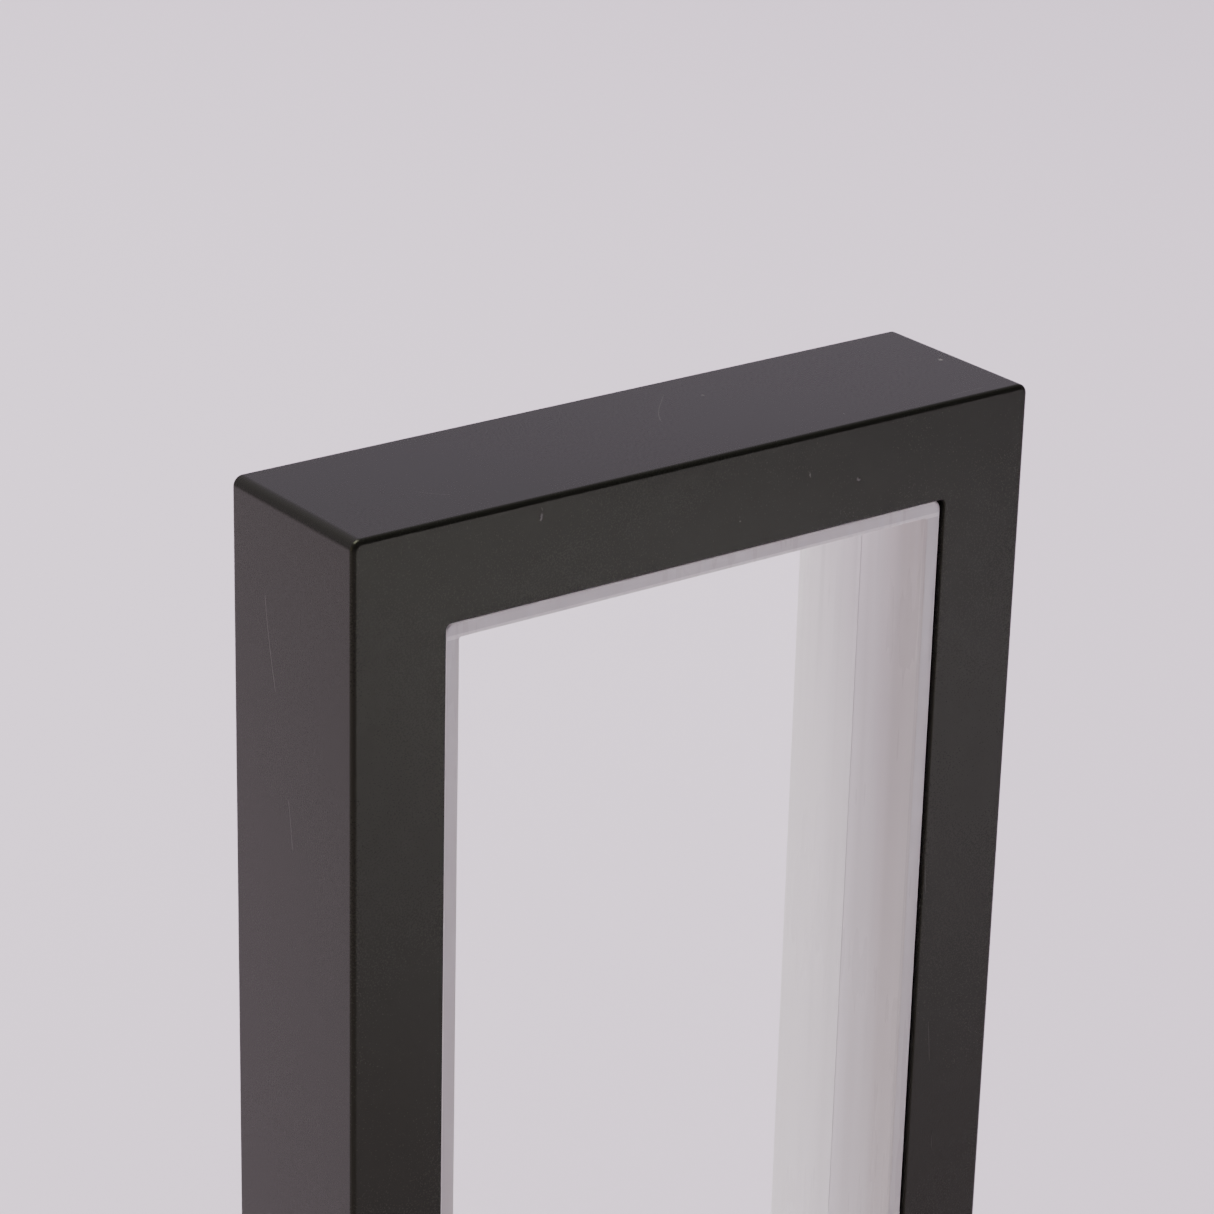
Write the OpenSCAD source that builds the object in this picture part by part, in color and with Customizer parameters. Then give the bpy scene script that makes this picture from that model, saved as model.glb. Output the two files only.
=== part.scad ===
// Floating display frame: two nested black half frames, hinged at the back, each with a pale liner ring
// and a stretched clear film. What is shown is held between the two films, in the middle of the depth.
// X runs across the frame, Y from front to back, Z up. The origin is the middle of the bottom face.

/* [Overall size] */
// Width across the outside
frame_w = 90; // [75:1:160]
// Height over the outside
frame_h = 230; // [180:1:320]
// Depth from the front face to the back face
frame_d = 23; // [19:0.5:32]
// Width of the black border around the opening
border_w = 11.5; // [11:0.5:16]
// Radius of the outer corners, seen from the front
corner_r = 1.2; // [0.4:0.1:2.4]
// Radius along the outer edges of the faces
edge_r = 0.6; // [0.4:0.1:1.4]
// Radius in the corners of the opening
opening_r = 0.6; // [0.3:0.1:2]

/* [Shells] */
// Thickness of the skirt around the outside
wall_t = 2; // [1.6:0.1:2.2]
// Thickness of the front and back border plates
plate_t = 2.2; // [1.8:0.1:2.6]
// Gap between the back frame and the skirt around it
door_gap = 0.3; // [0.2:0.05:0.4]
// Thickness of the stiffening rib on the back frame
rib_t = 1.2; // [0.8:0.1:1.4]
// Height of that rib
rib_h = 3; // [2:0.5:4]
// Radius of the finger notch in the skirt
notch_r = 9; // [6:0.5:12]
// Depth of the finger notch
notch_depth = 1.8; // [1:0.1:2]

/* [Liners and films] */
// How far a liner stands inside the border
liner_t = 1.9; // [1.4:0.1:2.4]
// How far a liner is set back from the outer face
liner_recess = 0.5; // [0.3:0.1:1]
// Gap between a liner and the border plate around it
liner_gap = 0.1; // [0.05:0.05:0.2]
// How far a liner's wall is thickened outwards behind the plate
liner_heel = 0.4; // [0.2:0.1:0.8]
// Radius in the inner corners of a liner
liner_r = 0.3; // [0.2:0.1:2]
// Thickness of one stretched film
film_t = 0.1; // [0.05:0.05:0.3]
// How far a film is turned down around its liner
film_turn = 2.6; // [1.5:0.1:3]
// Thickness of the hoop that holds a film
hoop_t = 1.5; // [1:0.1:1.6]
// Thickness of a liner's screw flange
flange_t = 1.3; // [1:0.1:1.6]
// Width of that flange outside the border's inner edge
flange_w = 7; // [6.8:0.1:7.4]

/* [Screws] */
// Diameter of a screw's shank
screw_d = 1.8; // [1.6:0.1:2]
// Diameter of its head
screw_head_d = 3.4; // [3:0.1:3.6]
// Height of its head
screw_head_h = 1; // [0.8:0.1:1.2]
// Length of its shank below the head
screw_len = 4; // [3.6:0.1:4.2]
// Diameter of a screw boss
boss_d = 3.8; // [3.4:0.1:4]
// Height of a screw boss
boss_h = 3.2; // [3:0.1:3.6]
// Distance of a screw from the border's inner edge
screw_out = 4.6; // [4.4:0.1:4.8]

/* [Magnets] */
// Diameter of a closing magnet
magnet_d = 5; // [4:0.5:5]
// Thickness of a closing magnet
magnet_t = 2; // [1.5:0.5:2.5]
// Gap around a magnet in its pocket
magnet_gap = 0.05; // [0.05:0.05:0.1]
// Diameter of a magnet post
post_d = 6.8; // [6.4:0.1:7]
// Distance of a magnet from both inner edges of the border
magnet_out = 5.2; // [5:0.1:5.4]
// Gap between a magnet post and the middle of the depth
post_gap = 0.2; // [0.1:0.1:0.4]

/* [Hinge] */
// Diameter of a hinge pin
pin_d = 1.6; // [1.2:0.1:2]
// Running clearance of the pin in the back frame, on the radius
pin_run = 0.05; // [0.02:0.01:0.08]
// Outer radius of a hinge knuckle
knuckle_r = 2.1; // [1.9:0.1:2.2]
// Length of one hinge station
station_len = 18; // [14:1:24]
// Length of the back frame's knuckle in it
door_knuckle_len = 8; // [6:1:10]
// Gap between knuckles along the pin
knuckle_gap = 0.2; // [0.1:0.05:0.4]
// Distance of a hinge station from the end of the frame
hinge_inset = 50; // [35:1:60]

/* [Hidden] */

$fn = 48;
cut = 1;                                    // how far a cutter runs past the face it cuts
press_gap = 0.01;                           // a pressed piece in its hole, on the radius
mid = frame_d / 2;                          // the films meet here, measured from the front face
cavity_w = frame_w - 2 * wall_t;
cavity_h = frame_h - 2 * wall_t;
opening_w = frame_w - 2 * border_w;
opening_h = frame_h - 2 * border_w;

hinge_x = -frame_w / 2 + wall_t + door_gap + knuckle_r;
hinge_y = frame_d / 2 - knuckle_r;
hinge_z_low = hinge_inset;
hinge_z_high = frame_h - hinge_inset;
shell_knuckle_len = (station_len - door_knuckle_len) / 2 - knuckle_gap;
swing_r = knuckle_r + door_gap;             // what is nearer than this to the pin is cut away
web_drop = 0.5;                             // the web stays this far below the knuckle's top

boss_top = plate_t + boss_h;
flange_top = boss_top + flange_t;
pilot_depth = screw_len - flange_t + 0.3;   // a little room is left under the screw's tip
pilot_d = screw_d + 2 * press_gap;
shank_hole_d = screw_d + 0.4;
screw_step = station_len / 2 + 12;          // clear of the hinge station
screw_spots = [
    for (side = [-1, 1], z = [hinge_z_low + screw_step, hinge_z_high - screw_step])
        [side * (opening_w / 2 + screw_out), z],
    for (z = [border_w - screw_out, frame_h - border_w + screw_out])
        [0, z]
];

magnet_x = opening_w / 2 + magnet_out;
magnet_z_low = border_w - magnet_out;
magnet_z_high = frame_h - border_w + magnet_out;
post_top = mid - post_gap;
post_room = 0.3;                            // flange clearance around a magnet post
diagonal = 1 / sqrt(2);
// The flange's corners are round enough to pass inside the magnet posts
flange_r = (flange_w - magnet_out + (post_d / 2 + post_room) * diagonal) / (1 - diagonal);

// Outline with four round corners, centred
module round_rect(w, h, r) {
    square([w - 2 * r, h], center = true);
    square([w, h - 2 * r], center = true);
    for (x = [-1, 1], y = [-1, 1])
        translate([x * (w / 2 - r), y * (h / 2 - r)])
            circle(r);
}

// The opening's outline grown outwards by out, or shrunk where out is negative
module opening_outline(out, r) {
    round_rect(opening_w + 2 * out, opening_h + 2 * out, r);
}

// A flat slab between two depths from the front face, with the outline of its children
module slab(from, to) {
    translate([0, to - frame_d / 2, frame_h / 2])
        rotate([90, 0, 0])
            linear_extrude(to - from)
                children();
}

// A round bar along Y at x, z, between two depths from the front face
module bar(x, z, d, from, to) {
    translate([x, to - frame_d / 2, z])
        rotate([90, 0, 0])
            cylinder(d = d, h = to - from);
}

// A round bar along the hinge axis, centred on height z
module hinge_bar(r, z, len) {
    translate([hinge_x, hinge_y, z])
        cylinder(r = r, h = len, center = true);
}

// Carries a piece of the front half over to the back half
module to_rear() {
    mirror([0, 1, 0])
        children();
}

// Solid block with all its outer edges rounded
module outer_block() {
    intersection() {
        slab(0, frame_d)
            round_rect(frame_w, frame_h, corner_r);
        linear_extrude(frame_h)
            round_rect(frame_w, frame_d, edge_r);
        translate([-frame_w / 2, 0, frame_h / 2])
            rotate([90, 0, 90])
                linear_extrude(frame_w)
                    round_rect(frame_d, frame_h, edge_r);
    }
}

// Bosses for the liner's screws, on the inside of a border plate
module bosses() {
    for (p = screw_spots)
        bar(p[0], p[1], boss_d, plate_t - cut, boss_top);
}

// Pilot holes down those bosses
module pilots() {
    for (p = screw_spots)
        bar(p[0], p[1], pilot_d, boss_top - pilot_depth, boss_top + cut);
}

// Posts that carry the closing magnets
module posts() {
    for (z = [magnet_z_low, magnet_z_high])
        bar(magnet_x, z, post_d, plate_t - cut, post_top);
}

// Pockets for the magnets in the ends of those posts
module pockets() {
    for (z = [magnet_z_low, magnet_z_high])
        bar(magnet_x, z, magnet_d + 2 * magnet_gap, post_top - magnet_t, post_top + cut);
}

// Places its children at the two knuckles of the front shell in every hinge station
module at_shell_knuckles() {
    for (z = [hinge_z_low, hinge_z_high], end = [-1, 1])
        translate([0, 0, z + end * (station_len - shell_knuckle_len) / 2])
            children();
}

// One knuckle of the front shell, with the web that joins it to the skirt
module shell_knuckle() {
    hinge_bar(knuckle_r, 0, shell_knuckle_len);
    translate([-frame_w / 2 + wall_t / 2, hinge_y - knuckle_r, -shell_knuckle_len / 2])
        cube([hinge_x + frame_w / 2 - wall_t / 2, 2 * knuckle_r - web_drop, shell_knuckle_len]);
}

module front_shell() {
    color([0.07, 0.07, 0.07])
        difference() {
            union() {
                difference() {
                    outer_block();
                    slab(plate_t, frame_d + cut)
                        square([cavity_w, cavity_h], center = true);
                    slab(-cut, plate_t + cut)
                        opening_outline(0, opening_r);
                }
                bosses();
                posts();
                at_shell_knuckles()
                    shell_knuckle();
            }
            pilots();
            pockets();
            for (z = [hinge_z_low, hinge_z_high])
                hinge_bar(pin_d / 2 + press_gap, z, station_len + 2 * cut);
            finger_notch();
        }
}

// Scallop in the skirt's back edge, on the side away from the hinge
module finger_notch() {
    translate([frame_w / 2 - wall_t - cut, frame_d / 2 + notch_r - notch_depth, frame_h / 2])
        rotate([0, 90, 0])
            cylinder(r = notch_r, h = wall_t + 2 * cut);
}

// The back frame's plate, from the hinge axis across to the far side
module door_plate() {
    door_h = cavity_h - 2 * door_gap;
    door_right = cavity_w / 2 - door_gap;
    slab(frame_d - plate_t, frame_d)
        translate([hinge_x, -door_h / 2])
            square([door_right - hinge_x, door_h]);
    hinge_bar(knuckle_r, frame_h / 2, door_h);
    slab(frame_d - plate_t - rib_h, frame_d - plate_t + cut)
        difference() {
            translate([hinge_x, -door_h / 2])
                square([door_right - hinge_x, door_h]);
            translate([hinge_x - cut, -door_h / 2 + rib_t])
                square([door_right - hinge_x + cut - rib_t, door_h - 2 * rib_t]);
        }
}

module rear_shell() {
    swing_room = shell_knuckle_len + 2 * knuckle_gap;
    color([0.08, 0.08, 0.08])
        difference() {
            union() {
                door_plate();
                to_rear() bosses();
                to_rear() posts();
            }
            slab(frame_d - plate_t - cut, frame_d + cut)
                opening_outline(0, opening_r);
            at_shell_knuckles()
                translate([-frame_w / 2, hinge_y - swing_r, -swing_room / 2])
                    cube([hinge_x + frame_w / 2 + swing_r, 2 * swing_r, swing_room]);
            for (z = [hinge_z_low, hinge_z_high])
                hinge_bar(pin_d / 2 + pin_run, z, station_len + 2 * cut);
            to_rear() pilots();
            to_rear() pockets();
        }
}

// Pale ring: a wall through the opening, and a screw flange that sits on the bosses
module liner() {
    color([0.8, 0.78, 0.79])
        difference() {
            union() {
                slab(liner_recess, mid - film_t)
                    opening_outline(-liner_gap, opening_r);
                slab(plate_t + liner_gap, mid - film_t)
                    opening_outline(liner_heel, opening_r);
                slab(boss_top, flange_top)
                    opening_outline(flange_w, flange_r);
            }
            slab(-cut, mid + cut)
                opening_outline(-liner_gap - liner_t, liner_r);
            for (p = screw_spots)
                bar(p[0], p[1], shank_hole_d, boss_top - cut, flange_top + cut);
        }
}

// Clear film, flat across the liner's end and turned down around its outside
module film() {
    color([0.9, 0.92, 0.95, 0.3])
        difference() {
            slab(mid - film_t - film_turn, mid)
                opening_outline(liner_heel + film_t, opening_r + film_t);
            slab(mid - film_t - film_turn - cut, mid - film_t)
                opening_outline(liner_heel, opening_r);
        }
}

// Hoop pressed on around the turned-down film
module hoop() {
    color([0.2, 0.2, 0.21])
        slab(mid - film_t - film_turn, mid - film_t)
            difference() {
                opening_outline(liner_heel + film_t + hoop_t, opening_r + hoop_t);
                opening_outline(liner_heel + film_t, opening_r + film_t);
            }
}

// Pan-head screws through the liner's flange into the bosses
module screws() {
    color([0.75, 0.75, 0.77])
        for (p = screw_spots) {
            bar(p[0], p[1], screw_head_d, flange_top, flange_top + screw_head_h);
            bar(p[0], p[1], screw_d, flange_top - screw_len, flange_top + screw_head_h / 2);
        }
}

// One closing magnet of the front half
module magnet(z) {
    color([0.8, 0.8, 0.82])
        bar(magnet_x, z, magnet_d, post_top - magnet_t, post_top);
}

module hinge_pin(z) {
    color([0.7, 0.7, 0.72])
        hinge_bar(pin_d / 2, z, station_len);
}

module front_liner() { liner(); }
module rear_liner() { to_rear() liner(); }
module front_film() { film(); }
module rear_film() { to_rear() film(); }
module front_hoop() { hoop(); }
module rear_hoop() { to_rear() hoop(); }
module front_screws() { screws(); }
module rear_screws() { to_rear() screws(); }
module front_magnet_upper() { magnet(magnet_z_high); }
module front_magnet_lower() { magnet(magnet_z_low); }
module rear_magnet_upper() { to_rear() magnet(magnet_z_high); }
module rear_magnet_lower() { to_rear() magnet(magnet_z_low); }
module hinge_pin_upper() { hinge_pin(hinge_z_high); }
module hinge_pin_lower() { hinge_pin(hinge_z_low); }

front_shell();
front_liner();
front_film();
front_hoop();
front_screws();
front_magnet_upper();
front_magnet_lower();
hinge_pin_upper();
hinge_pin_lower();
rear_shell();
rear_liner();
rear_film();
rear_hoop();
rear_screws();
rear_magnet_upper();
rear_magnet_lower();
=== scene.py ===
"""Looks of a floating display frame: two black half frames hinged at the back, pale liners, clear films."""

import math

import bmesh
import bpy
import numpy as np
from mathutils import Matrix, Vector


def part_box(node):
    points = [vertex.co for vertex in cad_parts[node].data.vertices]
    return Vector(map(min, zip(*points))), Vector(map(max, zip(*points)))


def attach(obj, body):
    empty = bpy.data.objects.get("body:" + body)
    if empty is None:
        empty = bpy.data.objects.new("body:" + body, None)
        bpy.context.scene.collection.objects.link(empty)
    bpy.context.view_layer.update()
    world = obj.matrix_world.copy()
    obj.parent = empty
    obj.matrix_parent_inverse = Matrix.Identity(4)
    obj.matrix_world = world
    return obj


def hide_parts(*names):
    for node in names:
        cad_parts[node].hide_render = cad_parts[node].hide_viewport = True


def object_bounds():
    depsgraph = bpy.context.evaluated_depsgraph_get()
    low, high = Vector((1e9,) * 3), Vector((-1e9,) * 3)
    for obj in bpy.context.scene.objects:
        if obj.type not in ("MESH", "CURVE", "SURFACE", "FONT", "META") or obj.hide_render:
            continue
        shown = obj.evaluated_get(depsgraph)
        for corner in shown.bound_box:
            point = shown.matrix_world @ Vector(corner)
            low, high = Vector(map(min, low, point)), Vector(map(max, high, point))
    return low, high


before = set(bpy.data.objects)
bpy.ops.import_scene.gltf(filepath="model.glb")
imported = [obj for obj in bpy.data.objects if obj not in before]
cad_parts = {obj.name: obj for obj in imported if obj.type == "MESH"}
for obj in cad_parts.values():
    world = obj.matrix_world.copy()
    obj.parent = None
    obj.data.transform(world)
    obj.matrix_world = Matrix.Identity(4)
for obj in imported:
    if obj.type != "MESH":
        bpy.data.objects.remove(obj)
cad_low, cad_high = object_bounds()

# ------------------------------------------------------------------ the viewing place
# A long lens looks down at the frame's upper end from the front left. It is set out from the upper front
# left corner, and it leans a little to one side, as a hand-levelled stand does.
MM = 0.001
view_corner = Vector((cad_low.x, cad_low.y, cad_high.z))
view_offset = Vector((-209.4, -320.9, 149.0)) * MM
view_azimuth = math.radians(36.94)
view_elevation = math.radians(22.1)
view_lean = math.radians(1.43)
ahead = Vector((
    math.sin(view_azimuth) * math.cos(view_elevation),
    math.cos(view_azimuth) * math.cos(view_elevation),
    -math.sin(view_elevation),
))
level = ahead.cross(Vector((0, 0, 1))).normalized()
rightward = level * math.cos(view_lean) + level.cross(ahead) * math.sin(view_lean)
facing = Matrix((rightward, rightward.cross(ahead), -ahead)).transposed()

lens = bpy.data.cameras.new("camera")
lens.lens = 122.3
lens.sensor_width = 36
camera = bpy.data.objects.new("camera", lens)
camera.matrix_world = Matrix.Translation(view_corner + view_offset) @ facing.to_4x4()
bpy.context.scene.collection.objects.link(camera)
bpy.context.scene.camera = camera


# ------------------------------------------------------------------ the paper floor
# The frame stands on a wide sheet of pale lilac-grey studio paper. It is matt and very slightly mottled.
class Socket:
    """A shader node's output. Python's operators on it add Math nodes."""

    def __init__(self, maker, link):
        self.maker, self.link = maker, link

    def math(self, operation, *others, clamp=False):
        settings = {"operation": operation, "use_clamp": clamp}
        return self.maker.node("Math", settings, dict(enumerate([self, *others])))

    def __add__(self, other):
        return self.math("ADD", other)

    def __sub__(self, other):
        return self.math("SUBTRACT", other)

    def __mul__(self, other):
        return self.math("MULTIPLY", other)

    def __rsub__(self, other):
        return self.math("MULTIPLY", -1.0).math("ADD", other)

    def __abs__(self):
        return self.math("ABSOLUTE")

    __radd__, __rmul__ = __add__, __mul__

    def rise(self, low, high):
        """0 below low, 1 above high, and a smooth climb between them."""
        limits = {"Value": self, "From Min": low, "From Max": high}
        return self.maker.node("MapRange", {"interpolation_type": "SMOOTHSTEP"}, limits)


class Maker:
    """A new material, and the one method that puts nodes into it."""

    def __init__(self, name):
        self.material = bpy.data.materials.new(name)
        self.material.use_nodes = True
        self.tree = self.material.node_tree
        self.tree.nodes.clear()

    def node(self, kind, settings=None, values=None, output=0):
        made = self.tree.nodes.new("ShaderNode" + kind)
        for key, value in (settings or {}).items():
            setattr(made, key, value)
        for key, value in (values or {}).items():
            if isinstance(value, Socket):
                self.tree.links.new(value.link, made.inputs[key])
            else:
                made.inputs[key].default_value = value
        return Socket(self, made.outputs[output])

    def place(self, stretch=(1, 1, 1)):
        """Object coordinates in metres, each times its stretch."""
        here = self.node("TexCoord", output="Object")
        return self.node("Mapping", None, {"Vector": here, "Scale": stretch})

    def noise(self, scale, detail=2.0, stretch=(1, 1, 1)):
        """Noise from 0 to 1 with about scale features to the metre."""
        asked = {"Vector": self.place(stretch), "Scale": scale, "Detail": detail}
        return self.node("TexNoise", None, asked, "Fac")

    def mix(self, part, first, second):
        """Colour first where part is 0, and second where it is 1."""
        return self.node("Mix", {"data_type": "RGBA"}, {0: part, 6: first, 7: second}, 2)

    def bump(self, height, distance, strength=1.0):
        """Normals of a height field, where a height of 1 stands distance metres proud."""
        return self.node("Bump", None, {"Height": height, "Distance": distance, "Strength": strength})

    def principled(self, **values):
        """The finished surface. An underscore in a name stands for a space."""
        named = {key.replace("_", " "): value for key, value in values.items()}
        return self.surface(self.node("BsdfPrincipled", None, named))

    def surface(self, shader):
        end = self.tree.nodes.new("ShaderNodeOutputMaterial")
        self.tree.links.new(shader.link, end.inputs["Surface"])
        return self.material


def mesh_object(name, places, faces, material):
    """A piece at the origin from its corners' places in metres and the corners of each face. The faces are
    turned to point out of it, and shaded smooth."""
    work = bmesh.new()
    mesh = bpy.data.meshes.new(name)
    mesh.from_pydata(np.asarray(places).reshape(-1, 3).tolist(), [], faces)
    work.from_mesh(mesh)
    bmesh.ops.recalc_face_normals(work, faces=work.faces)
    work.to_mesh(mesh)
    work.free()
    mesh.polygons.foreach_set("use_smooth", np.full(len(mesh.polygons), True))
    mesh.materials.append(material)
    made = bpy.data.objects.new(name, mesh)
    bpy.context.scene.collection.objects.link(made)
    return made


paper_dark = (0.885, 0.765, 0.905, 1)
paper_pale = (0.905, 0.785, 0.925, 1)
paper_reach = 6.0

paper = Maker("studio_paper")
paper_material = paper.principled(
    Base_Color=paper.mix(paper.noise(900.0), paper_dark, paper_pale),
    Roughness=0.9,
    Specular_IOR_Level=0.1,
)
paper_corners = np.array([(-1, -1, 0), (1, -1, 0), (1, 1, 0), (-1, 1, 0)]) * paper_reach
floor = mesh_object("floor", paper_corners, [(0, 1, 2, 3)], paper_material)


# ------------------------------------------------------------------ the light
# A pale room that is bright behind the frame and dim in front of it, and a wide soft lamp overhead that
# faces the floor behind. A weak one to the left reaches the opening's right wall, and a small one makes the
# soft pool of light on the floor in front that the black border mirrors.
def soft_lamp(name, place, target, size, power, colour, spread):
    """A square lamp of that size in metres, turned to face its target. Its light stays within spread."""
    data = bpy.data.lights.new(name, "AREA")
    data.size, data.energy, data.color, data.spread = size, power, colour, math.radians(spread)
    made = bpy.data.objects.new(name, data)
    made.location = place
    made.rotation_mode = "QUATERNION"
    made.rotation_quaternion = (Vector(target) - Vector(place)).to_track_quat("-Z", "Y")
    made.visible_camera = False
    bpy.context.scene.collection.objects.link(made)


class RoomMaker(Maker):
    """The same, for the room around the scene."""

    def __init__(self, name):
        self.room = bpy.data.worlds.new(name)
        self.room.use_nodes = True
        self.tree = self.room.node_tree
        self.tree.nodes.clear()


room_front = (0.11, 0.11, 0.10, 1)
room_back = (0.74, 0.65, 0.79, 1)
pool_x, pool_y = 0.27, -0.56

room_maker = RoomMaker("room")
direction = room_maker.node("TexCoord")
towards_back = room_maker.node("SeparateXYZ", None, {"Vector": direction}, "Y").rise(-0.5, 0.8)
room_colour = room_maker.mix(towards_back, room_front, room_back)
room_light = room_maker.node("Background", None, {"Color": room_colour})
room_end = room_maker.tree.nodes.new("ShaderNodeOutputWorld")
room_maker.tree.links.new(room_light.link, room_end.inputs["Surface"])
bpy.context.scene.world = room_maker.room
soft_lamp("overhead", (-0.4, 0.6, 2.3), (0.5, 0.9, 0), 1.6, 46, (1, 0.98, 0.96), 120)
soft_lamp("left_behind", (-1.5, 0.2, 0.35), (0, 0, 0.15), 0.8, 1.6, (1, 0.86, 0.55), 120)
soft_lamp("front_pool", (pool_x, pool_y, 0.5), (pool_x, pool_y, 0), 0.35, 2.2, (0.9, 1, 1.05), 66)


# ------------------------------------------------------------------ front shell
# One satin black moulding: the border plate, and the skirt that runs back over the whole depth. Its edges
# are rounded, and a scallop in the skirt's back rim lets a nail under the back frame.
shell_low, shell_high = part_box("front_shell")
shell_w, shell_h = shell_high.x - shell_low.x, shell_high.z - shell_low.z
shell_d = shell_high.y - shell_low.y
border_w = 11.5 * MM
skirt_t = 2.0 * MM
plate_t = 2.2 * MM
edge_r = 0.6 * MM
corner_r = 1.2 * MM
lip_r = 0.2 * MM
heel_r = 0.4 * MM
rim_r = 0.15 * MM
opening_r = 0.6 * MM
tight_r = 0.05 * MM
scallop_r = 9.0 * MM
scallop_depth = 1.8 * MM


def rounded_outline(corners, radii, steps=6):
    """A closed outline of right-angled corners, each rounded. An arc's centre lies its radius along both
    sides from the corner, and its points are the centre less the radius times the cosine along the next
    side and the sine along the one before."""
    corners = np.asarray(corners, float)
    turn = np.linspace(0, np.pi / 2, steps + 1)[:, None]
    arcs = []
    for here, before, after, radius in zip(corners, np.roll(corners, 1, 0), np.roll(corners, -1, 0), radii):
        back, on = [(other - here) / np.linalg.norm(other - here) for other in (before, after)]
        arcs.append(here + radius * ((back + on) - on * np.cos(turn) - back * np.sin(turn)))
    return np.concatenate(arcs)


def grid_faces(rows, columns):
    """Quads of a grid that closes on itself both ways, row by row."""
    row, column = np.indices((rows, columns))
    down, across = (row + 1) % rows, (column + 1) % columns
    here, below = row * columns, down * columns
    corners = [here + column, here + across, below + across, below + column]
    return np.stack(corners, -1).reshape(-1, 4).tolist()


def ring_places(section, radii, rear=False, corner_steps=8, side_steps=(12, 24)):
    """Rectangles with round corners about the opening, one for each section point of inset from the
    outside and depth from the front face. radii gives insets and the corner radii at them. Corner k is
    its centre plus the radius times the cosine and sine from k to k + 1 right angles, and the straight
    sides between corners are stepped more closely near their middles."""
    inset, depth = section[:, 0], section[:, 1]
    radius = np.interp(inset, *radii)[:, None]
    reach = np.stack([shell_w / 2 - inset, shell_h / 2 - inset], -1) - radius
    centres = [reach * sign for sign in ((1, 1), (-1, 1), (-1, -1), (1, -1))]
    turn = np.linspace(0, np.pi / 2, corner_steps + 1)
    parts = []
    for k in range(4):
        ray = np.stack([np.cos(turn + k * np.pi / 2), np.sin(turn + k * np.pi / 2)], -1)[:, None]
        arc = centres[k] + radius * ray
        even = np.linspace(-1, 1, side_steps[k % 2] + 1)[1:-1, None, None]
        along = (1 + even * np.abs(even)) / 2
        parts += [arc, arc[-1] * (1 - along) + (centres[(k + 1) % 4] + radius * ray[-1]) * along]
    flat = np.concatenate(parts)
    y = np.broadcast_to(-depth if rear else depth, flat.shape[:2]) + (shell_high.y if rear else shell_low.y)
    return np.stack([flat[..., 0], y, flat[..., 1] + shell_h / 2], -1)


def even_normals(piece):
    """Large flat faces keep flat shading, and the roundings take up all of the turn."""
    finish = piece.modifiers.new("even_normals", "WEIGHTED_NORMAL")
    finish.weight = 100
    finish.keep_sharp = True


def fitted(piece, half, slot, *nodes):
    """Puts a piece on its half of the frame with even normals, and hides the CAD nodes that it stands for.
    slot is not used.
    """
    even_normals(piece)
    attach(piece, half + "_half")
    if nodes:
        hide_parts(*nodes)


def ring(name, places, material):
    """A closed ring of the mesh rows that ring_places gives."""
    return mesh_object(name, places, grid_faces(*places.shape[:2]), material)


def scallop(places):
    """The skirt's rim on the side away from the hinge drops, near mid-height, as a circle of scallop_r does
    below the chord that it cuts scallop_depth deep."""
    x, y, z = np.moveaxis(places, -1, 0)
    circle = np.sqrt(np.maximum(scallop_r**2 - (z - shell_h / 2) ** 2, 0))
    drop = np.maximum(circle - (scallop_r - scallop_depth), 0)
    on_rim = (x > shell_high.x - skirt_t - tight_r) & (y > 0)
    return np.stack([x, y - drop * on_rim, z], -1)


dust_pale = (0.3, 0.29, 0.28, 1)
gloss_tint = (0.95, 1.0, 0.70, 1)


def black_plastic(name, colour, roughness, grain, wear):
    """Moulded satin plastic: spark-eroded grain, a slight waviness and cloudiness, sparse dust specks of
    uneven shape, short ticks and a few hairline scratches."""
    maker = Maker(name)
    cloud = maker.noise(30.0, 3.0)
    fine = maker.noise(5200.0, 2.0)
    wave = maker.noise(16.0, 0.0)
    shake = maker.node("TexNoise", None, {"Vector": maker.place(), "Scale": 1500.0}, "Color")
    shaken = maker.node("VectorMath", {"operation": "SCALE"}, {0: shake, "Scale": 0.7 * MM})

    def sparse(stretch, scale, reach, share):
        """1 on small spots about the centres of that share of cells, scale cells to the metre."""
        here = maker.node("VectorMath", {"operation": "ADD"}, {0: maker.place(stretch), 1: shaken})
        cell = {"Vector": here, "Scale": scale}
        near = maker.node("TexVoronoi", None, cell, "Distance")
        lot = maker.node("SeparateColor", None, {"Color": maker.node("TexVoronoi", None, cell, "Color")})
        return (1 - near.rise(0.3 * reach, reach)) * lot.rise(1 - share, 1.01 - share)

    dust = sparse((1, 1, 1), 330.0, 0.12, 0.06)
    ticks = sparse((1.0, 1.0, 0.28), 420.0, 0.09, 0.06)
    line = abs(maker.noise(45.0, 0.0, (1.0, 1.0, 0.25)) - 0.5)
    scratch = (1 - line.rise(0.0, 0.0012)) * maker.noise(90.0, 0.0).rise(0.62, 0.66)
    marks = dust.math("MAXIMUM", ticks * 0.8).math("MAXIMUM", scratch * 0.3) * wear
    low, high = [(*(part * c for c in colour), 1) for part in (0.8, 1.2)]
    relief = fine * (0.008 * MM) + wave * (0.6 * MM) - scratch * (0.01 * MM * wear)
    return maker.principled(
        Base_Color=maker.mix(marks * 0.55, maker.mix(cloud, low, high), dust_pale),
        Roughness=cloud * 0.08 + fine * 0.06 + marks * 0.2 + (roughness - 0.07),
        Specular_IOR_Level=0.18,
        Specular_Tint=gloss_tint,
        Normal=maker.bump(relief, 1.0, grain),
    )


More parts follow.
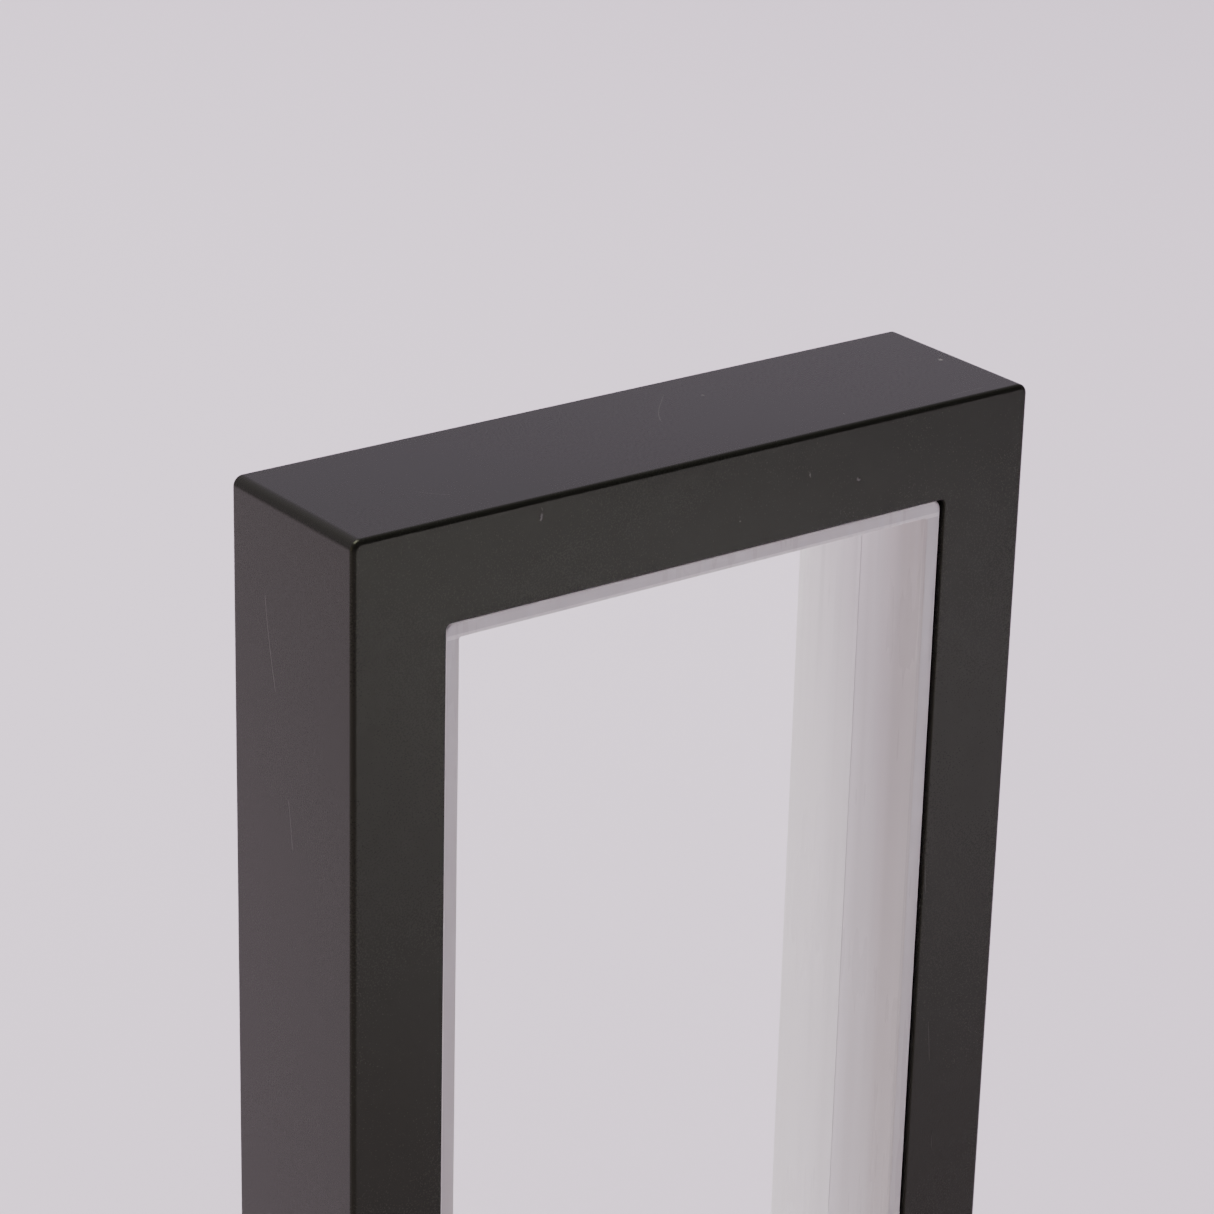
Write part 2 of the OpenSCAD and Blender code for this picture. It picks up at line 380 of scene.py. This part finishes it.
shell_black = black_plastic("satin_black_moulding", (0.0092, 0.0092, 0.0078), 0.27, 0.8, 1.0)
shell_section = rounded_outline(
    [(0, 0), (border_w, 0), (border_w, plate_t), (skirt_t, plate_t), (skirt_t, shell_d), (0, shell_d)],
    [edge_r, lip_r, lip_r, heel_r, rim_r, edge_r],
)
shell_radii = (
    [0, edge_r, skirt_t, border_w - lip_r, border_w],
    [corner_r, corner_r - edge_r, tight_r, opening_r + lip_r, opening_r],
)
shell_rows = ring_places(shell_section, shell_radii, side_steps=(12, 110))
fitted(ring("front_shell_moulding", scallop(shell_rows), shell_black), "front", "shell", "front_shell")


# ------------------------------------------------------------------ bosses, posts and knuckles
# They are moulded in one with the front shell: bosses for the liner's screws, posts that hold the closing
# magnets, and two knuckles with webs at each hinge station, bored for the pin.
screw_out = 4.6 * MM
screw_off = 12 * MM
magnet_out = 5.2 * MM
pin_low, pin_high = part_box("hinge_pin_lower")
hinge_x, hinge_y = (pin_low.x + pin_high.x) / 2, (pin_low.y + pin_high.y) / 2
station_len = pin_high.z - pin_low.z
stations = [(pin_low.z + pin_high.z) / 2, shell_h - (pin_low.z + pin_high.z) / 2]
pin_r = (pin_high.x - pin_low.x) / 2
screw_x = shell_w / 2 - border_w + screw_out
screw_z = stations[0] + station_len / 2 + screw_off
screw_end = border_w - screw_out
screw_spots = [(side * screw_x, z, 0) for side in (-1, 1) for z in (screw_z, shell_h - screw_z)]
screw_spots += [(0, screw_end, 0), (0, shell_h - screw_end, 0)]
magnet_x = shell_w / 2 - border_w + magnet_out
magnet_end = border_w - magnet_out
magnet_spots = [(magnet_x, magnet_end, 0), (magnet_x, shell_h - magnet_end, 0)]
across_y = (0, 2, 1)
along_z = (0, 1, 2)


def turned(name, rows, spots, material, axes=across_y, bored=False, segments=40):
    """Turned solids, one at each spot. A row is a radius, or one radius for each of the segments' angles,
    and a place along the axis; its points are the spot plus the radius times the angles' cosine and sine.
    bored joins the last row to the first, and otherwise a flat face closes each end."""
    angle = np.linspace(0, 2 * np.pi, segments, endpoint=False)
    radius = np.stack([np.broadcast_to(r, segments) for r, _ in rows])
    along = np.broadcast_to(np.array([place for _, place in rows])[:, None], radius.shape)
    one = np.stack([radius * np.cos(angle), radius * np.sin(angle), along], -1)
    places = (np.asarray(spots, float)[:, None, None] + one)[..., axes]
    count = len(rows) * segments
    faces = grid_faces(len(rows), segments)
    if not bored:
        faces = faces[:-segments] + [list(range(segments)), list(range(count - segments, count))]
    starts = range(0, count * len(spots), count)
    every = [[corner + start for corner in face] for start in starts for face in faces]
    return mesh_object(name, places, every, material)


def from_face(rows, rear=False):
    """Rows whose depth from a half's own outer face becomes their place along Y."""
    face, inward = (shell_high.y, -1) if rear else (shell_low.y, 1)
    return [(radius, face + inward * depth) for radius, depth in rows]


soft = 0.15 * MM
boss_r, boss_top = 1.9 * MM, 5.4 * MM
pilot_r, pilot_floor = 0.92 * MM, 2.4 * MM
post_r, post_gap = 3.4 * MM, 0.2 * MM
post_top = shell_d / 2 - post_gap
pocket_r, magnet_t = 2.55 * MM, 2.0 * MM
boss_rows = from_face([
    (boss_r, plate_t - soft), (boss_r, boss_top - soft), (boss_r - soft, boss_top),
    (pilot_r + soft, boss_top), (pilot_r, boss_top - soft), (pilot_r, pilot_floor),
])
post_rows = from_face([
    (post_r, plate_t - soft), (post_r, post_top - soft), (post_r - soft, post_top),
    (pocket_r + soft / 2, post_top), (pocket_r, post_top - soft / 2), (pocket_r, post_top - magnet_t),
])
fitted(turned("front_screw_bosses", boss_rows, screw_spots, shell_black), "front", "shell")
fitted(turned("front_magnet_posts", post_rows, magnet_spots, shell_black), "front", "shell")

knuckle_r = 2.1 * MM
web_top = 1.6 * MM
knuckle_len = 4.8 * MM
wall_bite = 0.6 * MM
knuckle_segments = 120
pressed = 0.01 * MM
tiny = 1e-6
# At each angle a knuckle's outline is the farther of its circle and its web. The web ends at the nearer of
# the wall and its own top or underside, which lie at their distance over the angle's cosine or sine.
around = np.linspace(0, 2 * np.pi, knuckle_segments, endpoint=False)
towards_wall = np.maximum(-np.cos(around), tiny)
sideways = np.maximum(np.abs(np.sin(around)), tiny)
web_reach = hinge_x - shell_low.x - skirt_t + wall_bite
web_side = np.where(np.sin(around) > 0, web_top, knuckle_r)
web_edge = np.minimum(web_reach / towards_wall, web_side / sideways) * (np.cos(around) < 0)
knuckle_edge = np.maximum(web_edge, knuckle_r)
half_len = knuckle_len / 2
bore_r = pin_r + pressed
knuckle_rows = [
    (knuckle_edge - soft, -half_len), (knuckle_edge, soft - half_len),
    (knuckle_edge, half_len - soft), (knuckle_edge - soft, half_len),
    (bore_r + soft / 2, half_len), (bore_r, half_len - soft / 2),
    (bore_r, soft / 2 - half_len), (bore_r + soft / 2, -half_len),
]
knuckle_spots = [
    (hinge_x, hinge_y, z + end * (station_len - knuckle_len) / 2) for z in stations for end in (-1, 1)
]
front_knuckles = turned(
    "front_hinge_knuckles", knuckle_rows, knuckle_spots, shell_black,
    axes=along_z, bored=True, segments=knuckle_segments,
)
fitted(front_knuckles, "front", "shell")


# ------------------------------------------------------------------ liners
# A milky white moulded ring lines each half's opening: a wall with rounded lips, thicker behind the plate,
# and a screw flange. It is semi-gloss, with faint drawing marks along the length of its walls. Its walls
# are painted darker towards the front as painted shade, the rim round its front carries a painted
# highlight, and the crease behind that rim carries painted shade.
liner_recess = 0.5 * MM
liner_gap = 0.1 * MM
liner_t = 1.9 * MM
liner_heel = 0.4 * MM
liner_r = 0.3 * MM
flange_w = 7.0 * MM
flange_t = 1.3 * MM
post_room = 0.3 * MM
diagonal = math.sqrt(0.5)
flange_r = (flange_w - magnet_out + (post_r + post_room) * diagonal) / (1 - diagonal)
film_t = 0.03 * MM
liner_outer = border_w + liner_gap
liner_inner = liner_outer + liner_t
heel_outer = border_w - liner_heel
heel_start = plate_t + liner_gap
flange_edge = border_w - flange_w
flange_top = boss_top + flange_t
liner_end = shell_d / 2 - film_t
liner_face = shell_low.y + liner_recess
liner_corner_r = 1.2 * MM
milk_lit_back = (0.98, 0.98, 0.96, 1)
milk_shaded_front = (0.55, 0.53, 0.485, 1)
rim_highlight_pale = (0.95, 0.93, 0.87, 1)
crease_shade_grey = (0.3, 0.3, 0.29, 1)
streak_grey = (0.55, 0.55, 0.53, 1)

maker = Maker("milky_liner")
width_place, depth_place, height_place = (
    maker.node("SeparateXYZ", None, {"Vector": maker.place()}, axis) for axis in "XYZ"
)
near_ends = abs(height_place - shell_h / 2).rise(shell_h / 2 - 45 * MM, shell_h / 2 - border_w)
streak = maker.noise(900.0, 2.0, (1.0, 1.0, 0.03))
broad = maker.noise(330.0, 1.0, (1.0, 1.0, 0.02))
blotch = maker.noise(60.0, 2.0)
uneven = (broad - 0.5) * (9 * MM) + (streak - 0.5) * (4 * MM) * near_ends
# Painted shade: the walls are coloured darker towards the front and paler towards the back, where more
# light from behind reaches them. The change has an uneven edge.
painted_depth_shade = (depth_place + uneven).rise(-12 * MM, 6 * MM)
from_side = shell_w / 2 - abs(width_place)
from_end = shell_h / 2 - abs(height_place - shell_h / 2)
inset_place = from_side.math("MINIMUM", from_end)
on_face = 1 - depth_place.rise(liner_face + 0.5 * liner_r, liner_face + liner_r)
# Painted highlight: a pale line round the outer edge of the liner's front face, and a fainter one on the
# inner lip of the top and bottom walls only.
outer_rim_highlight = (1 - inset_place.rise(liner_outer + 0.2 * MM, liner_outer + 0.35 * MM)) * on_face
inner_rim_highlight = from_end.rise(liner_inner - 0.5 * MM, liner_inner - 0.35 * MM) * on_face
inner_rim_highlight = inner_rim_highlight * (1 - from_end.rise(liner_inner, liner_inner + 0.1 * MM))
# Painted shade: a thin grey band in the crease just behind the front rim.
crease_shade = depth_place.rise(liner_face + 0.2 * MM, liner_face + 0.3 * MM)
crease_shade = crease_shade * (1 - depth_place.rise(liner_face + 0.4 * MM, liner_face + 0.5 * MM))
depth_shaded_milk = maker.mix(painted_depth_shade, milk_shaded_front, milk_lit_back)
rim_highlighted = maker.mix(outer_rim_highlight.math("MAXIMUM", inner_rim_highlight * 0.6), depth_shaded_milk, rim_highlight_pale)
tone = maker.mix(crease_shade * 0.3, rim_highlighted, crease_shade_grey)
liner_milk = maker.principled(
    Base_Color=maker.mix(streak.rise(0.45, 0.8) * (near_ends * 0.25 + 0.12), tone, streak_grey),
    Roughness=blotch * 0.1 + streak * 0.08 + 0.2,
    Specular_IOR_Level=0.5,
    Normal=maker.bump(streak * 0.6 + broad, 0.01 * MM, 0.6),
)
front_lip, inner_lip, end_lip = 0.3 * MM, 0.22 * MM, 0.02 * MM
small_lip, root_r, flange_lip = 0.08 * MM, 0.1 * MM, 0.2 * MM
liner_section = rounded_outline(
    [
        (liner_outer, liner_recess), (liner_inner, liner_recess), (liner_inner, liner_end),
        (heel_outer, liner_end), (heel_outer, flange_top), (flange_edge, flange_top),
        (flange_edge, boss_top), (heel_outer, boss_top), (heel_outer, heel_start),
        (liner_outer, heel_start),
    ],
    [front_lip, inner_lip, end_lip, small_lip, root_r, flange_lip, flange_lip, root_r, root_r, small_lip],
)
liner_radii = (
    [flange_edge, heel_outer, liner_outer, liner_inner],
    [flange_r, opening_r, liner_corner_r, liner_r],
)
for half in ("front", "rear"):
    rows = ring_places(liner_section, liner_radii, half == "rear", corner_steps=12, side_steps=(24, 60))
    fitted(ring(half + "_liner_ring", rows, liner_milk), half, "liner", half + "_liner")


# ------------------------------------------------------------------ films
# A thin elastic film is stretched over the end of each liner and turned down around it. The two films meet
# in the middle of the depth and grip what is shown. They are all but invisible, with a faint sheen.
film_turn = 2.6 * MM
film_outer = heel_outer - film_t
film_top = shell_d / 2
film_foot = film_top - film_t - film_turn

maker = Maker("clear_film")
ripple = maker.noise(45.0, 1.0) + maker.noise(14.0, 0.0) * 2.0
sheen = maker.node("BsdfGlossy", None, {
    "Color": (1, 1, 1, 1),
    "Roughness": 0.06,
    "Normal": maker.bump(ripple, 0.1 * MM, 0.3),
})
clear = maker.node("BsdfTransparent", None, {"Color": (1, 1, 1, 1)})
glancing = maker.node("LayerWeight", None, {"Blend": 0.2}, "Fresnel")
blend = maker.node("MixShader", None, {0: glancing * 0.25, 1: clear, 2: sheen})
film_clear = maker.surface(blend)

film_section = np.array([
    (heel_outer, film_top - film_t), (heel_outer, film_foot), (film_outer, film_foot),
    (film_outer, film_top - film_t), (film_outer + 0.3 * film_t, film_top - 0.3 * film_t),
    (film_outer + film_t, film_top),
])
film_radii = ([film_outer, heel_outer], [opening_r + film_t, opening_r])
for half in ("front", "rear"):
    rows = ring_places(film_section, film_radii, half == "rear").transpose(1, 0, 2)
    levels, round_count = rows.shape[:2]
    walls = grid_faces(levels, round_count)[:-round_count]
    sheets = [list(range(round_count)), list(range((levels - 1) * round_count, levels * round_count))]
    film = mesh_object(half + "_film_sheet", rows, walls + sheets, film_clear)
    fitted(film, half, "film", half + "_film")


# ------------------------------------------------------------------ hoops
# A dark grey nylon hoop is pressed on around each liner's end and traps the turned-down film. It shows
# only when the frame is opened.
hoop_t = 1.5 * MM
bite_r, foot_r, grip_r = 0.1 * MM, 0.2 * MM, 0.35 * MM
hoop_section = rounded_outline(
    [
        (film_outer, film_foot), (film_outer, film_top - film_t),
        (film_outer - hoop_t, film_top - film_t), (film_outer - hoop_t, film_foot),
    ],
    [bite_r, foot_r, grip_r, foot_r],
)
hoop_radii = ([film_outer - hoop_t, film_outer], [opening_r + hoop_t, opening_r + film_t])
hoop_nylon = black_plastic("grey_nylon", (0.045, 0.046, 0.05), 0.5, 1.0, 0.4)
for half in ("front", "rear"):
    rows = ring_places(hoop_section, hoop_radii, half == "rear")
    fitted(ring(half + "_film_hoop", rows, hoop_nylon), half, "hoop", half + "_hoop")


# ------------------------------------------------------------------ screws
# Six small zinc-plated pan-head screws with cross recesses hold each liner's flange down on the bosses. The
# recess is wide where the cosine of twice the angle is near 1 or -1, and the thread's grooves are rings.
head_r, head_h = 1.7 * MM, 1.0 * MM
shank_r, screw_len = 0.9 * MM, 4.0 * MM
recess_depth = 0.55 * MM
recess_hub, recess_wing, wing_power = 0.28 * MM, 0.55 * MM, 8
thread_pitch, thread_depth = 0.5 * MM, 0.1 * MM
tip_len = 0.6 * MM
recess_floor_r, recess_rim, head_rim = 0.1 * MM, 0.04 * MM, 0.05 * MM
screw_segments = 48
bare_metal = (0.9, 0.9, 0.9, 1)


def plated_steel(name, colour, roughness, marks):
    """Plated metal: cloudy tone, fine dulling, and short bright scratches and handling marks."""
    maker = Maker(name)
    cloud = maker.noise(320.0, 3.0)
    line = abs(maker.noise(500.0, 1.0, (1.0, 0.35, 1.0)) - 0.5)
    scratch = (1 - line.rise(0.0, 0.012)) * maker.noise(420.0, 0.0).rise(0.5, 0.6) * marks
    dull = maker.noise(2600.0, 2.0)
    dark, light = [(*(part * c for c in colour), 1) for part in (0.75, 1.1)]
    return maker.principled(
        Base_Color=maker.mix(scratch * 0.5, maker.mix(cloud, dark, light), bare_metal),
        Metallic=1.0,
        Roughness=cloud * 0.14 + dull * 0.08 + scratch * 0.15 + (roughness - 0.1),
        Normal=maker.bump(dull - scratch, 0.006 * MM, 0.8),
    )


screw_angle = np.linspace(0, 2 * np.pi, screw_segments, endpoint=False)
recess = recess_hub + recess_wing * np.abs(np.cos(2 * screw_angle)) ** wing_power
head_top = flange_top + head_h
tip = flange_top - screw_len
thread = np.linspace(flange_top, tip + tip_len, 40)
groove = thread_depth * (1 - np.cos(2 * np.pi * thread / thread_pitch)) / 2
screw_rows = [
    (recess_floor_r, head_top - recess_depth), (recess * 0.45, head_top - 0.9 * recess_depth),
    (recess, head_top - 0.03 * head_h), (recess + recess_rim, head_top),
    (0.72 * head_r, head_top - 0.02 * head_h), (0.88 * head_r, head_top - 0.12 * head_h),
    (0.97 * head_r, head_top - 0.32 * head_h), (head_r, head_top - 0.6 * head_h),
    (head_r - head_rim, flange_top), *zip(shank_r - groove, thread),
    (0.5 * shank_r, tip + tip_len / 3), (0.2 * shank_r, tip),
]
screw_zinc = plated_steel("zinc_plate", (0.62, 0.63, 0.66), 0.32, 1.0)
for half in ("front", "rear"):
    rows = from_face(screw_rows, half == "rear")
    screws = turned(half + "_liner_screws", rows, screw_spots, screw_zinc, segments=screw_segments)
    fitted(screws, half, "screw_steel", half + "_screws")


# ------------------------------------------------------------------ magnets
# A nickel-plated disc is glued in each post's pocket, flush with the post. The pairs face each other across
# a small gap and hold the back frame shut.
magnet_r = 2.5 * MM
magnet_rows = [
    (magnet_r - soft, post_top - magnet_t), (magnet_r, post_top - magnet_t + soft),
    (magnet_r, post_top - soft), (magnet_r - soft / 2, post_top - soft / 4),
    (magnet_r - 2 * soft, post_top),
]
magnet_nickel = plated_steel("nickel_plate", (0.72, 0.70, 0.66), 0.2, 1.4)
for half in ("front", "rear"):
    rows = from_face(magnet_rows, half == "rear")
    for end, spot in zip(("lower", "upper"), magnet_spots):
        disc = turned(f"{half}_magnet_disc_{end}", rows, [spot], magnet_nickel, segments=64)
        fitted(disc, half, "magnet_plating", f"{half}_magnet_{end}")


# ------------------------------------------------------------------ hinge pins
# A ground steel pin with chamfered ends is pressed through the front shell's knuckles at each station, and
# the back frame turns on it.
pin_steel = plated_steel("ground_steel", (0.55, 0.55, 0.56), 0.28, 0.8)
half_pin = station_len / 2
pin_rows = [
    (pin_r - soft, -half_pin), (pin_r, soft - half_pin), (pin_r, half_pin - soft), (pin_r - soft, half_pin),
]
for end, z in zip(("lower", "upper"), stations):
    pin = turned("hinge_rod_" + end, pin_rows, [(hinge_x, hinge_y, z)], pin_steel, along_z)
    fitted(pin, "front", "pin_steel", "hinge_pin_" + end)


# ------------------------------------------------------------------ rear shell
# The back frame is one black moulding: a plate that lies inside the skirt, stiffened by a rib along three
# sides, with a roll along the hinge side. Its edges are broken, and it is a little duller than the front.
# The design's own shape is copied, its facets are joined into whole faces, and its edges are bevelled.
rear_black = black_plastic("satin_black_back", (0.010, 0.010, 0.010), 0.46, 1.0, 0.8)
edge_break = 0.22 * MM
same_place = 0.005 * MM

rear_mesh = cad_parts["rear_shell"].data.copy()
work = bmesh.new()
work.from_mesh(rear_mesh)
bmesh.ops.remove_doubles(work, verts=work.verts, dist=same_place)
bmesh.ops.recalc_face_normals(work, faces=work.faces)
bmesh.ops.dissolve_limit(work, angle_limit=math.radians(0.5), verts=work.verts, edges=work.edges)
work.to_mesh(rear_mesh)
work.free()
rear_mesh.polygons.foreach_set("use_smooth", np.full(len(rear_mesh.polygons), True))
rear_mesh.materials.clear()
rear_mesh.materials.append(rear_black)
rear_plate = bpy.data.objects.new("rear_shell_moulding", rear_mesh)
bpy.context.scene.collection.objects.link(rear_plate)
broken = rear_plate.modifiers.new("broken_edges", "BEVEL")
broken.width = edge_break
broken.segments = 3
broken.limit_method = "ANGLE"
broken.angle_limit = math.radians(50)
fitted(rear_plate, "rear", "shell", "rear_shell")
